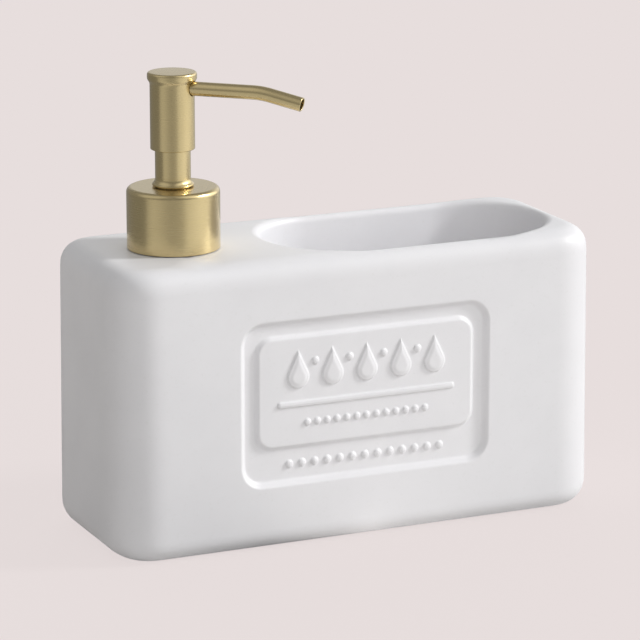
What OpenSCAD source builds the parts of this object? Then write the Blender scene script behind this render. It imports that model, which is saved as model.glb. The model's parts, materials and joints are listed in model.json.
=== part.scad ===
// Ceramic washing-up caddy: a block-shaped soap reservoir with a sponge pocket,
// and a screw-on lotion pump in satin brass over a plastic pump engine.
// Millimetres. +Z is up, the label faces -Y, and the base rests on Z = 0.

/* [Ceramic body] */
// Width of the body
body_w = 190; // [150:1:230]
// Depth of the body
body_d = 72; // [68:1:95]
// Height of the deck above the base
body_h = 106.5; // [100:0.5:140]
// Radius of the upright corners
corner_r = 15.5; // [12:0.5:20]
// Rounding round the deck
deck_edge_r = 8; // [5:0.5:10]
// Rounding round the base
base_edge_r = 7; // [5:0.5:10]
// Thickness of the cast wall
wall_t = 4.5; // [3.5:0.25:5]

/* [Sponge pocket] */
// Distance from the pump's axis to the pocket's near end
pocket_gap = 36.25; // [35:0.25:55]
// Ceramic between the pocket and the front, and between it and the back
pocket_side_t = 7; // [6:0.25:13]
// Depth of the pocket below the deck
pocket_deep = 82; // [50:1:88]
// Ceramic between the pocket's end and the right side of the body
pocket_end_t = 8.75; // [7:0.25:12]
// Thickness of the wall round the pocket
pocket_wall_t = 4.5; // [3.5:0.25:6]
// Rounding of the pocket's mouth
pocket_lip_r = 3; // [1:0.25:4]
// Rounding at the foot of the pocket's wall
pocket_floor_r = 7; // [2:0.5:12]

/* [Label] */
// Width of the sunken field on the front
field_w = 97; // [80:1:110]
// Height of the sunken field
field_h = 59.2; // [56:0.1:66]
// Height of the field's lower edge above the base
field_z = 24.4; // [18:0.1:30]
// Depth of the field below the front face
field_deep = 1.9; // [1.2:0.1:2.5]
// Radius of the field's corners
field_corner_r = 7.5; // [4:0.5:10]
// Width of the channel beside and over the raised panel
channel_w = 5.5; // [4:0.1:8]
// Height of the open band under the panel
band_h = 13; // [11:0.1:16]
// Depth of the panel's face below the front face
panel_sink = 0.8; // [0.5:0.1:1.2]
// Height of the ornaments over their ground
relief_t = 0.75; // [0.3:0.05:0.8]

/* [Collar and neck] */
// Outer radius of the metal collar
collar_r = 16.8; // [16.8:0.1:19]
// Height of the metal collar
collar_h = 22.25; // [21.5:0.25:26]
// Sheet thickness of the collar
collar_t = 0.75; // [0.5:0.05:0.8]
// Rounding of the collar's top edge
collar_edge_r = 1.9; // [1:0.1:3]
// Distance from the pump's axis to the left side of the body
pump_inset = 35; // [32:0.5:40]
// Radius of the hole in the deck
neck_hole_r = 14; // [13.9:0.1:14.4]
// Radius over the crest of the neck's thread
thread_major_r = 13.8; // [13.6:0.05:13.9]
// Radius at the root of the neck's thread
thread_minor_r = 12.75; // [12.5:0.05:12.9]
// Rise of the thread in one turn
thread_pitch = 4.23; // [3.6:0.01:4.5]
// Turns of thread on the neck and in the cap
thread_turns = 1.25; // [1:0.25:1.5]

/* [Head and spout] */
// Travel of the head when it is pressed
stroke = 11.5; // [8:0.5:12]
// Height of the head's lower rim over the collar, with the head up
head_gap = 13.55; // [13.5:0.05:16]
// Outer radius of the head
head_r = 8; // [8:0.1:9]
// Length of the head
head_l = 28.1; // [27.8:0.1:32]
// How far the lip round the head's top stands out
lip_out = 0.9; // [0.5:0.1:1.5]
// Outer radius of the guide sleeve
sleeve_r = 6.4; // [6.4:0.05:6.6]
// Outer radius of the spout
spout_r = 2.55; // [2.3:0.05:2.95]
// Wall of the spout
spout_t = 0.5; // [0.3:0.05:0.6]
// Distance of the spout's axis below the head's top
spout_drop = 5.95; // [5.6:0.05:6.2]
// Where the bend begins, measured from the pump's axis
spout_straight_l = 30.4; // [20:0.1:45]
// Radius of the bend
spout_bend_r = 30; // [12:1:60]
// Angle of the bend
spout_bend_deg = 12.5; // [5:0.5:60]
// Length of the straight end after the bend
spout_end_l = 12.2; // [4:0.1:20]
// Direction of the spout seen from above, from +X
spout_yaw_deg = -43; // [-180:1:180]

/* [Hidden] */
$fn = 96;

// Overrun of every cut
over = 1;
// Gap between pieces that move past each other end to end
play = 0.3;
// Gap all round a plug or press joint
fit = 0.05;
// Gap all round a sliding stem
slide_fit = 0.08;

// Neck insert, its seal and the gasket over it
neck_fit = 0.2;
plug_l = 9;
plug_r = neck_hole_r - neck_fit;
seal_t = 0.8;
neck_flange_r = 15.3;
neck_flange_t = 1.6;
neck_h = 11.6;
neck_bore_r = 11.2;
gasket_r = 13;
gasket_t = 1;
ridge_root_w = 1.8;
ridge_crest_w = 0.7;
ridge_sink = 0.25;
thread_gap = 0.2;
ridge_steps = 36;
ridge_fade_share = 0.12;

// Pump housing
housing_flange_r = 13;
housing_flange_t = 1.6;
housing_wall_t = 1.2;
cylinder_r = 7.2;
socket_r = 8.2;
chamber_r = 4.6;
chamber_l = 22;
cage_r = 3.3;
cage_l = 5.5;
inlet_r = 2;
seat_h = 1.2;
nipple_r = 4.4;
nipple_l = 14;
stroke_spare = 4;
vent_r = 0.6;
rib_w = 0.8;
rib_h = 1;
rib_reach_r = 2.1;
rib_count = 3;
inlet_ball_r = 2.6;
dip_tube_r = 3;
dip_tube_t = 0.8;
dip_tube_lap = 11;
dip_tube_lift = 4;

// Chaplet, which snaps into the housing and guides the stem
chaplet_skirt_l = 10.8;
chaplet_skirt_t = 1.1;
chaplet_web_t = 2;
chaplet_flange_r = 11.5;
chaplet_flange_t = 1.2;
chaplet_tube_l = 13.5;
chaplet_tube_t = 0.9;

// Closure cap and collar
cap_web_t = 1.6;
cap_lift = 0.4;
cap_hole_gap = 0.4;
collar_top_t = 0.8;

// Guide sleeve
sleeve_t = 0.5;
sleeve_lap = 3.9;
foot_r = 7.5;
foot_rim_t = 0.8;
foot_flare_r = 2.4;

// Piston and stems
stem_r = 3.2;
stem_bore_r = 1.9;
stem_pocket_r = 2.5;
stem_pocket_l = 5;
outlet_ball_r = 2.2;
piston_l = 9;
piston_lip_l = 1.6;
piston_waist_r = 6.5;
piston_rest_gap = 2;
piston_shoulder_h = 5;
piston_port_r = 2.9;
disc_r = 4;
disc_t = 2;
lower_neck_r = 2.4;
spigot_l = 6;
port_r = 1;
cross_port_r = 0.7;
pin_r = 2.1;
pin_l = 13;
pin_tip_r = 1.2;

// Return spring
spring_r = 4.1;
wire_r = 0.45;
spring_turns = 10;
spring_rings = 8;
wire_sides = 6;

// Head
head_t = 0.55;
head_cap_t = 0.8;
rim_round_r = 0.5;
lip_round_r = 1.2;
lip_band_l = 0.8;
lip_flare_r = 2;
core_inset = 0.9;
core_gap = 0.05;
core_bore_gap = 0.2;
core_ceiling_gap = 1.2;
core_socket_r = 4.5;
core_socket_l = 7;
core_channel_r = 1.6;
spout_root = 3.7;
spout_bend_steps = 8;
spout_sides = 36;
spout_hole_gap = 0.35;
spout_seal_r = 3.6;
spout_seal_l = 1.4;

// Ornaments on the label
panel_corner_r = 6;
drop_count = 5;
drop_pitch = 13.5;
drop_r = 4.1;
drop_tip_l = 9.6;
drop_rise = 25.9;
bubble_r = 1.3;
bubble_rise = 5.4;
bar_w = 70;
bar_h = 1.8;
bar_rise = 16;
bead_r = 1.15;
bead_pitch = 3.9;
bead_count = 13;
bead_rise = 8.8;
band_bead_r = 1.35;
band_bead_pitch = 5;
band_bead_count = 13;

// Places across the body
pump_x = pump_inset - body_w / 2;
pocket_l = body_w / 2 - pocket_end_t - pump_x - pocket_gap;
pocket_w = body_d - 2 * pocket_side_t;
pocket_x = pump_x + pocket_gap + pocket_l / 2;

// Heights of the neck and the collar
deck_z = body_h;
seal_top = deck_z + seal_t;
neck_flange_top = seal_top + neck_flange_t;
neck_top = neck_flange_top + neck_h;
gasket_top = neck_top + gasket_t;
housing_flange_top = gasket_top + housing_flange_t;
cap_z = neck_flange_top + cap_lift;
cap_web_z = housing_flange_top + play;
cap_web_top = cap_web_z + cap_web_t;
chaplet_flange_z = cap_web_top + play;
chaplet_flange_top = chaplet_flange_z + chaplet_flange_t;
chaplet_z = chaplet_flange_z - chaplet_skirt_l;
chaplet_web_top = chaplet_z + chaplet_web_t;
chaplet_tube_r = sleeve_r - sleeve_t - fit;
chaplet_bore_r = chaplet_tube_r - chaplet_tube_t;
chaplet_skirt_r = socket_r - fit;
chaplet_skirt_bore_r = chaplet_skirt_r - chaplet_skirt_t;
collar_z = deck_z + play;
collar_top = collar_z + collar_h;
collar_bore_r = collar_r - collar_t;
housing_neck_r = socket_r + housing_wall_t;

// Heights of the head
head_z = collar_top + head_gap;
head_top = head_z + head_l;
sleeve_top = head_z + sleeve_lap;
core_z = head_z + core_inset;
core_top = head_top - head_cap_t - play;
core_ceiling = sleeve_top + stroke + core_ceiling_gap;
core_r = head_r - head_t - core_gap;
spout_z = head_top - spout_drop;
spout_seal_x = sqrt(pow(core_r, 2) - pow(spout_seal_r, 2)) - spout_seal_l;
lip_r = head_r + lip_out;
lip_flare_h = sqrt(pow(lip_flare_r, 2) - pow(lip_flare_r - lip_out, 2));
lip_low = head_top - lip_round_r - lip_band_l;
lip_flare_z = lip_low - lip_flare_h;

// Heights inside the pump, with the head up
piston_top = chaplet_z - piston_rest_gap;
piston_z = piston_top - piston_l;
shoulder_z = piston_z + piston_shoulder_h;
stem_z = shoulder_z + play;
stem_top = core_ceiling - fit;
stem_pocket_z = stem_top - stem_pocket_l;
disc_top = piston_z - play;
disc_z = disc_top - disc_t;
pin_z = disc_z - pin_l;
cylinder_z = piston_z - stroke - stroke_spare;
chamber_z = cylinder_z - chamber_l;
cage_z = chamber_z - cage_l;
seat_z = cage_z - seat_h;
nipple_z = seat_z - nipple_l;
dip_tube_top = nipple_z + dip_tube_lap;
dip_tube_z = wall_t + dip_tube_lift;
spring_low = chamber_z + wire_r + fit;
spring_high = disc_z - wire_r - fit;

// A circle that touches an edge circle sits this far over it
function seat_rise(ball_r, edge_r) = sqrt(pow(ball_r, 2) - pow(edge_r, 2));

// Upright cylinder from one height to another
module rod(low, high, r) {
    translate([0, 0, low]) cylinder(r = r, h = high - low);
}

// Upright tube from one height to another
module pipe(low, high, r, bore_r) {
    difference() {
        rod(low, high, r);
        rod(low - over, high + over, bore_r);
    }
}

// Half section of a solid r wide, rounded outside at its lower and upper edge
module edge_section(r, low, high, low_r, high_r) {
    translate([0, low + low_r]) square([r, high - low - low_r - high_r]);
    if (low_r > 0) {
        translate([0, low]) square([r - low_r, low_r]);
        translate([r - low_r, low + low_r]) mirror([0, 1]) quarter(low_r);
    }
    if (high_r > 0) {
        translate([0, high - high_r]) square([r - high_r, high_r]);
        translate([r - high_r, high - high_r]) quarter(high_r);
    }
}

// Quarter of a disc between +X and +Y
module quarter(r) {
    intersection() {
        circle(r = r);
        square(r);
    }
}

// Block with round upright corners and rounded lower and upper edges
module rounded_block(w, d, low, high, corner, low_r, high_r) {
    for (side = [-1, 1], end = [-1, 1])
        translate([side * (w / 2 - corner), end * (d / 2 - corner), 0])
            rotate_extrude() edge_section(corner, low, high, low_r, high_r);
    rotate([90, 0, 90])
        linear_extrude(height = w - 2 * corner, center = true)
            full_section(d / 2, low, high, low_r, high_r);
    if (d > 2 * corner)
        rotate([90, 0, 0])
            linear_extrude(height = d - 2 * corner, center = true)
                full_section(w / 2, low, high, low_r, high_r);
}

// Both halves of a block's section
module full_section(r, low, high, low_r, high_r) {
    edge_section(r, low, high, low_r, high_r);
    mirror([1, 0]) edge_section(r, low, high, low_r, high_r);
}

// Half section of the rounded mouth of the pocket
module mouth_section(r) {
    difference() {
        translate([0, deck_z - pocket_lip_r]) square([r + pocket_lip_r, pocket_lip_r + over]);
        translate([r + pocket_lip_r, deck_z - pocket_lip_r]) circle(r = pocket_lip_r);
    }
}

// The mouth's cut, along the pocket's round-ended outline
module mouth_cut() {
    end_r = pocket_w / 2;
    for (side = [-1, 1])
        translate([side * (pocket_l / 2 - end_r), 0, 0]) rotate_extrude() mouth_section(end_r);
    rotate([90, 0, 90])
        linear_extrude(height = pocket_l - pocket_w, center = true)
            union() {
                mouth_section(end_r);
                mirror([1, 0]) mouth_section(end_r);
            }
}

// The pocket, grown on all sides by a wall
module pocket(grow, top) {
    rounded_block(
        pocket_l + 2 * grow, pocket_w + 2 * grow,
        deck_z - pocket_deep - grow, top,
        pocket_w / 2 + grow, pocket_floor_r + grow, 0
    );
}

// Flat outline with round corners
module round_field(w, h, r) {
    square([w - 2 * r, h], center = true);
    if (h > 2 * r) square([w, h - 2 * r], center = true);
    for (side = [-1, 1], end = [-1, 1])
        translate([side * (w / 2 - r), end * (h / 2 - r)]) circle(r = r);
}

// Water drop with its round end down
module drop_outline() {
    tilt = acos(drop_r / drop_tip_l);
    circle(r = drop_r);
    polygon([
        [-drop_r * sin(tilt), drop_r * cos(tilt)],
        [0, drop_tip_l],
        [drop_r * sin(tilt), drop_r * cos(tilt)],
        [0, 0],
    ]);
}

// Row of equal beads, centred
module bead_row(count, pitch, r) {
    for (i = [0 : count - 1])
        translate([(i - (count - 1) / 2) * pitch, 0]) circle(r = r);
}

// Extrudes an outline outwards through the front face, from one depth to another
module on_front(deep, shallow) {
    translate([0, deep - body_d / 2, 0])
        rotate([90, 0, 0])
            linear_extrude(height = deep - shallow) children();
}

// Ornaments on the raised panel
module panel_ornaments() {
    for (i = [0 : drop_count - 1])
        translate([(i - (drop_count - 1) / 2) * drop_pitch, drop_z]) drop_outline();
    for (i = [1 : drop_count - 1])
        translate([(i - drop_count / 2) * drop_pitch, drop_z + bubble_rise]) circle(r = bubble_r);
    translate([0, bar_z]) round_field(bar_w, bar_h, bar_h / 2);
    translate([0, bead_z]) bead_row(bead_count, bead_pitch, bead_r);
}

// Field, panel and ornaments on the front
panel_w = field_w - 2 * channel_w;
panel_h = field_h - channel_w - band_h;
panel_low = field_z + band_h;
panel_z = panel_low + panel_h / 2;
drop_z = panel_low + drop_rise;
bar_z = panel_low + bar_rise;
bead_z = panel_low + bead_rise;

module label_cut() {
    difference() {
        translate([0, field_z + field_h / 2, 0]) round_field(field_w, field_h, field_corner_r);
        translate([0, panel_z, 0]) round_field(panel_w, panel_h, panel_corner_r);
    }
}

module ceramic_body() {
    color("white")
    difference() {
        union() {
            difference() {
                rounded_block(body_w, body_d, 0, deck_z, corner_r, base_edge_r, deck_edge_r);
                difference() {
                    rounded_block(
                        body_w - 2 * wall_t, body_d - 2 * wall_t, wall_t, deck_z - wall_t,
                        corner_r - wall_t, base_edge_r - wall_t, deck_edge_r - wall_t
                    );
                    translate([pocket_x, 0, 0]) pocket(pocket_wall_t, deck_z);
                }
                on_front(field_deep, -over) label_cut();
                on_front(panel_sink, -over)
                    translate([0, panel_z]) round_field(panel_w, panel_h, panel_corner_r);
            }
            on_front(panel_sink, panel_sink - relief_t) panel_ornaments();
            on_front(field_deep, field_deep - relief_t)
                translate([0, field_z + band_h / 2])
                    bead_row(band_bead_count, band_bead_pitch, band_bead_r);
        }
        translate([pocket_x, 0, 0]) pocket(0, deck_z + over);
        translate([pocket_x, 0, 0]) mouth_cut();
        translate([pump_x, 0, 0]) rod(deck_z - wall_t - over, deck_z + over, neck_hole_r);
    }
}

// One ring of a thread ridge: root and crest corners, in order round the section
function ridge_ring(angle, z, root, crest, root_w, crest_w) = [
    [root * cos(angle), root * sin(angle), z - root_w / 2],
    [crest * cos(angle), crest * sin(angle), z - crest_w / 2],
    [crest * cos(angle), crest * sin(angle), z + crest_w / 2],
    [root * cos(angle), root * sin(angle), z + root_w / 2],
];

// How far the ridge has come out of its wall at a share of its length
function ridge_fade(share) =
    min(1, share / ridge_fade_share, (1 - share) / ridge_fade_share);

// Triangles of the skin of a tube, from rings of equal size that start at a point's number
function skin_faces(rings, sides, start) = [
    for (i = [0 : rings - 2], j = [0 : sides - 1])
        let (
            here = start + i * sides + j, beside = start + i * sides + (j + 1) % sides,
            ahead = here + sides, across = beside + sides
        )
        each [[here, beside, ahead], [beside, across, ahead]]
];

// Triangles that close both ends of a solid tube
function cap_faces(rings, sides) = concat(
    [for (j = [1 : sides - 2]) [0, j + 1, j]],
    [for (j = [1 : sides - 2])
        [(rings - 1) * sides, (rings - 1) * sides + j, (rings - 1) * sides + j + 1]]
);

function tube_faces(rings, sides) = concat(skin_faces(rings, sides, 0), cap_faces(rings, sides));

// The same triangles, seen from their other side
function turned(faces) = [for (f = faces) [f[0], f[2], f[1]]];

// Right-hand ridge that climbs a wall. It stands out of the wall by depth,
// which is negative for a ridge inside a bore.
module thread_ridge(wall_r, depth, low, start_deg) {
    steps = round(ridge_steps * thread_turns);
    sunk = depth > 0 ? -ridge_sink : ridge_sink;
    points = [
        for (i = [0 : steps])
            let (
                share = i / steps,
                angle = start_deg + 360 * thread_turns * share,
                z = low + thread_pitch * thread_turns * share,
                crest = wall_r + (depth - sunk / 2) * ridge_fade(share) + sunk / 2
            )
            each ridge_ring(angle, z, wall_r + sunk, crest, ridge_root_w, ridge_crest_w)
    ];
    sides = 4;
    faces = tube_faces(steps + 1, sides);
    polyhedron(points = points, faces = depth > 0 ? faces : turned(faces), convexity = 8);
}

thread_z = neck_flange_top + thread_pitch / 2;

module neck_seal() {
    color("dimgray")
    translate([pump_x, 0, 0]) pipe(deck_z, seal_top, neck_flange_r, plug_r + fit);
}

module neck_insert() {
    color("whitesmoke")
    translate([pump_x, 0, 0]) {
        rotate_extrude() polygon([
            [neck_bore_r, deck_z - plug_l], [plug_r, deck_z - plug_l],
            [plug_r, seal_top], [neck_flange_r, seal_top],
            [neck_flange_r, neck_flange_top], [thread_minor_r, neck_flange_top],
            [thread_minor_r, neck_top], [neck_bore_r, neck_top],
        ]);
        thread_ridge(thread_minor_r, thread_major_r - thread_minor_r, thread_z, 0);
    }
}

module housing_gasket() {
    color("gainsboro")
    translate([pump_x, 0, 0]) pipe(neck_top, gasket_top, gasket_r, housing_neck_r + fit);
}

module pump_housing() {
    ledge_z = chaplet_z;
    neck_low = ledge_z - housing_wall_t;
    housing_top = chaplet_flange_z - play;
    chamber_low = cage_z - housing_wall_t;
    color("ivory")
    translate([pump_x, 0, 0])
    difference() {
        union() {
            rotate_extrude() polygon([
                [dip_tube_r + fit, nipple_z], [nipple_r, nipple_z],
                [nipple_r, chamber_low], [chamber_r + housing_wall_t, chamber_low],
                [chamber_r + housing_wall_t, cylinder_z - housing_wall_t],
                [cylinder_r + housing_wall_t, cylinder_z - housing_wall_t],
                [cylinder_r + housing_wall_t, neck_low], [housing_neck_r, neck_low],
                [housing_neck_r, gasket_top], [housing_flange_r, gasket_top],
                [housing_flange_r, housing_flange_top], [housing_neck_r, housing_flange_top],
                [housing_neck_r, housing_top], [socket_r, housing_top],
                [socket_r, ledge_z], [cylinder_r, ledge_z],
                [cylinder_r, cylinder_z], [chamber_r, cylinder_z],
                [chamber_r, chamber_z], [cage_r, chamber_z],
                [cage_r, cage_z], [inlet_r, seat_z],
                [inlet_r, dip_tube_top + fit], [dip_tube_r + fit, dip_tube_top + fit],
            ]);
            for (i = [0 : rib_count - 1])
                rotate([0, 0, i * 360 / rib_count])
                    translate([rib_reach_r, -rib_w / 2, chamber_z - rib_h])
                        cube([cage_r + fit - rib_reach_r, rib_w, rib_h]);
        }
        translate([0, 0, piston_top])
            rotate([90, 0, 0])
                cylinder(r = vent_r, h = cylinder_r + housing_wall_t + over);
    }
}

module dip_tube() {
    color("aliceblue")
    translate([pump_x, 0, 0]) pipe(dip_tube_z, dip_tube_top, dip_tube_r, dip_tube_r - dip_tube_t);
}

module inlet_ball() {
    slope = atan((cage_r - inlet_r) / seat_h);
    rest_z = seat_z + seat_rise(inlet_ball_r, inlet_r) + fit;
    cone_z = seat_z + (inlet_ball_r / cos(90 - slope)) - inlet_r * tan(90 - slope) + fit;
    color("silver")
    translate([pump_x, 0, max(rest_z, cone_z)]) sphere(r = inlet_ball_r);
}

// Points of one ring of the spring's wire
function wire_ring(angle, z) = [
    for (j = [0 : wire_sides - 1])
        let (
            round_r = spring_r - wire_r + wire_r * cos(360 * j / wire_sides),
            rise = wire_r * sin(360 * j / wire_sides)
        )
        [round_r * cos(angle), round_r * sin(angle), z + rise]
];

module return_spring() {
    steps = spring_turns * spring_rings;
    climb = spring_high - spring_low;
    points = [
        for (i = [0 : steps])
            each wire_ring(360 * i / spring_rings, spring_low + climb * i / steps)
    ];
    color("silver")
    translate([pump_x, 0, 0])
        polyhedron(points = points, faces = tube_faces(steps + 1, wire_sides), convexity = 20);
    echo(gap_between_turns = climb / spring_turns - 2 * wire_r);
}

module piston() {
    lip_r_out = cylinder_r - fit;
    color("lightsteelblue")
    translate([pump_x, 0, 0])
        rotate_extrude() polygon([
            [piston_port_r, piston_z], [lip_r_out, piston_z],
            [lip_r_out, piston_z + piston_lip_l], [piston_waist_r, piston_z + piston_lip_l],
            [piston_waist_r, piston_top - piston_lip_l], [lip_r_out, piston_top - piston_lip_l],
            [lip_r_out, piston_top], [stem_r + slide_fit, piston_top],
            [stem_r + slide_fit, shoulder_z], [piston_port_r, shoulder_z],
        ]);
}

module lower_stem() {
    spigot_r = stem_bore_r - fit;
    color("whitesmoke")
    translate([pump_x, 0, 0])
    difference() {
        rotate_extrude() polygon([
            [0, pin_z], [pin_tip_r, pin_z],
            [pin_r, pin_z + pin_l / 2], [pin_r, disc_z],
            [disc_r, disc_z], [disc_r, disc_top],
            [lower_neck_r, disc_top], [lower_neck_r, stem_z - fit],
            [spigot_r, stem_z - fit], [spigot_r, stem_z + spigot_l],
            [0, stem_z + spigot_l],
        ]);
        rod(disc_top, stem_z + spigot_l + over, port_r);
        translate([0, 0, disc_top + cross_port_r + fit])
            rotate([0, 90, 0])
                cylinder(r = cross_port_r, h = 2 * (lower_neck_r + over), center = true);
    }
}

module upper_stem() {
    color("whitesmoke")
    translate([pump_x, 0, 0])
        rotate_extrude() polygon([
            [stem_bore_r, stem_z], [stem_r, stem_z],
            [stem_r, stem_top], [stem_pocket_r, stem_top],
            [stem_pocket_r, stem_pocket_z], [stem_bore_r, stem_pocket_z],
        ]);
}

module outlet_ball() {
    color("silver")
    translate([pump_x, 0, stem_pocket_z + seat_rise(outlet_ball_r, stem_bore_r) + fit])
        sphere(r = outlet_ball_r);
}

module chaplet() {
    slope_h = chaplet_skirt_bore_r - chaplet_bore_r;
    color("whitesmoke")
    translate([pump_x, 0, 0])
        rotate_extrude() polygon([
            [stem_r + slide_fit, chaplet_z], [chaplet_skirt_r, chaplet_z],
            [chaplet_skirt_r, chaplet_flange_z], [chaplet_flange_r, chaplet_flange_z],
            [chaplet_flange_r, chaplet_flange_top], [chaplet_tube_r, chaplet_flange_top],
            [chaplet_tube_r, chaplet_flange_top + chaplet_tube_l],
            [chaplet_bore_r, chaplet_flange_top + chaplet_tube_l],
            [chaplet_bore_r, chaplet_flange_z],
            [chaplet_skirt_bore_r, chaplet_flange_z - slope_h],
            [chaplet_skirt_bore_r, chaplet_web_top],
            [stem_r + slide_fit, chaplet_web_top],
        ]);
}

module closure_cap() {
    cap_r = collar_bore_r - fit;
    bore_r = thread_major_r + thread_gap;
    hole_r = housing_neck_r + cap_hole_gap;
    color("beige")
    translate([pump_x, 0, 0]) {
        rotate_extrude() polygon([
            [bore_r, cap_z], [cap_r, cap_z],
            [cap_r, cap_web_top], [hole_r, cap_web_top],
            [hole_r, cap_web_z], [bore_r, cap_web_z],
        ]);
        thread_ridge(bore_r, thread_minor_r + thread_gap - bore_r, thread_z, 180);
    }
}

module collar_shell() {
    hole_r = sleeve_r + play;
    color("darkkhaki")
    translate([pump_x, 0, 0])
        rotate_extrude()
            difference() {
                edge_section(collar_r, collar_z, collar_top, 0, collar_edge_r);
                translate([0, -over])
                    edge_section(
                        collar_bore_r, collar_z, collar_top - collar_top_t + over,
                        0, collar_edge_r - collar_t
                    );
                translate([0, collar_top - collar_top_t - over])
                    square([hole_r, collar_top_t + 2 * over]);
            }
}

module guide_sleeve() {
    foot_z = collar_top + play;
    rim_top = foot_z + foot_rim_t;
    rim_r = foot_rim_t / 2;
    flare_w = foot_r - rim_r - sleeve_r;
    color("darkkhaki")
    translate([pump_x, 0, 0])
    rotate_extrude()
        union() {
            translate([sleeve_r - sleeve_t, chaplet_flange_top])
                square([sleeve_t, sleeve_top - chaplet_flange_top]);
            translate([sleeve_r - sleeve_t, foot_z]) square([sleeve_t + flare_w, foot_rim_t]);
            translate([foot_r - rim_r, foot_z + rim_r]) circle(r = rim_r);
            difference() {
                translate([sleeve_r - sleeve_t, rim_top - rim_r])
                    square([sleeve_t + flare_w, foot_flare_r + rim_r]);
                translate([sleeve_r + foot_flare_r, rim_top + foot_flare_r]) circle(r = foot_flare_r);
                translate([sleeve_r + flare_w, rim_top]) square(foot_flare_r + over);
            }
        }
}

// Turns a piece that is drawn along +X into the spout's direction
module along_spout() {
    translate([pump_x, 0, spout_z]) rotate([0, 0, spout_yaw_deg]) children();
}

// Places along the spout's axis, each with its slope: [along, up, degrees]
function spout_stations() = concat(
    [[spout_root, 0, 0]],
    [for (i = [0 : spout_bend_steps])
        let (tilt = spout_bend_deg * i / spout_bend_steps)
        [
            spout_straight_l + spout_bend_r * sin(tilt),
            -spout_bend_r * (1 - cos(tilt)),
            tilt,
        ]],
    [[
        spout_straight_l + spout_bend_r * sin(spout_bend_deg) + spout_end_l * cos(spout_bend_deg),
        -spout_bend_r * (1 - cos(spout_bend_deg)) - spout_end_l * sin(spout_bend_deg),
        spout_bend_deg,
    ]]
);

// Ring round one place on the spout's axis
function spout_ring(place, r) = [
    for (j = [0 : spout_sides - 1])
        let (
            rise = r * cos(360 * j / spout_sides),
            across = r * sin(360 * j / spout_sides)
        )
        [place[0] + rise * sin(place[2]), across, place[1] + rise * cos(place[2])]
];

module head_core() {
    color("beige")
    difference() {
        translate([pump_x, 0, 0])
        rotate_extrude() polygon([
            [sleeve_r + core_bore_gap, core_z], [core_r, core_z],
            [core_r, core_top], [0, core_top],
            [0, core_ceiling], [stem_r + fit, core_ceiling],
            [stem_r + fit, core_ceiling - core_socket_l],
            [core_socket_r, core_ceiling - core_socket_l],
            [core_socket_r, core_ceiling], [sleeve_r + core_bore_gap, core_ceiling],
        ]);
        translate([pump_x, 0, 0]) rod(core_ceiling - over, spout_z, core_channel_r);
        along_spout() rotate([0, 90, 0]) cylinder(r = core_channel_r, h = core_r + over);
        along_spout() translate([spout_root - fit, 0, 0]) rotate([0, 90, 0])
            cylinder(r = spout_r + fit, h = core_r + over);
        along_spout() translate([spout_seal_x, 0, 0]) rotate([0, 90, 0])
            cylinder(r = spout_seal_r + fit, h = core_r + over);
    }
}

module head_shell() {
    color("darkkhaki")
    difference() {
        translate([pump_x, 0, 0])
        rotate_extrude()
            difference() {
                union() {
                    edge_section(head_r, head_z, lip_low, rim_round_r, 0);
                    edge_section(lip_r, lip_flare_z, head_top, 0, lip_round_r);
                }
                translate([0, head_z - over]) square([head_r - head_t, head_l + over - head_cap_t]);
                translate([head_r + lip_flare_r, lip_flare_z]) circle(r = lip_flare_r);
            }
        along_spout() rotate([0, 90, 0])
            cylinder(r = spout_r + spout_hole_gap, h = head_r + over);
    }
}

module spout_tube() {
    places = spout_stations();
    rings = len(places);
    inside = rings * spout_sides;
    last = (rings - 1) * spout_sides;
    points = [
        for (r = [spout_r, spout_r - spout_t], place = places) each spout_ring(place, r)
    ];
    rim = [
        for (j = [0 : spout_sides - 1])
            let (k = (j + 1) % spout_sides)
            each [
                [j, inside + j, k], [k, inside + j, inside + k],
                [last + j, last + k, last + inside + j],
                [last + k, last + inside + k, last + inside + j],
            ]
    ];
    faces = concat(
        skin_faces(rings, spout_sides, 0),
        turned(skin_faces(rings, spout_sides, inside)),
        rim
    );
    color("darkkhaki")
    along_spout() polyhedron(points = points, faces = faces, convexity = 6);
}

module spout_seal() {
    color("black")
    along_spout()
        translate([spout_seal_x, 0, 0])
            rotate([0, 90, 0])
                difference() {
                    cylinder(r = spout_seal_r, h = spout_seal_l);
                    translate([0, 0, -over])
                        cylinder(r = spout_r + fit, h = spout_seal_l + 2 * over);
                }
}

ceramic_body();
neck_seal();
neck_insert();
housing_gasket();
pump_housing();
dip_tube();
inlet_ball();
return_spring();
piston();
lower_stem();
upper_stem();
outlet_ball();
chaplet();
closure_cap();
collar_shell();
guide_sleeve();
head_core();
head_shell();
spout_tube();
spout_seal();
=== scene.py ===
"""Looks of a ceramic soap caddy with a satin brass pump: glaze, metal, light, floor and camera.

Everything is in metres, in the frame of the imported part. +Z is up and the label faces -Y.
"""

import json
import math

import bpy
import numpy as np
from mathutils import Matrix, Vector, geometry

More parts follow.
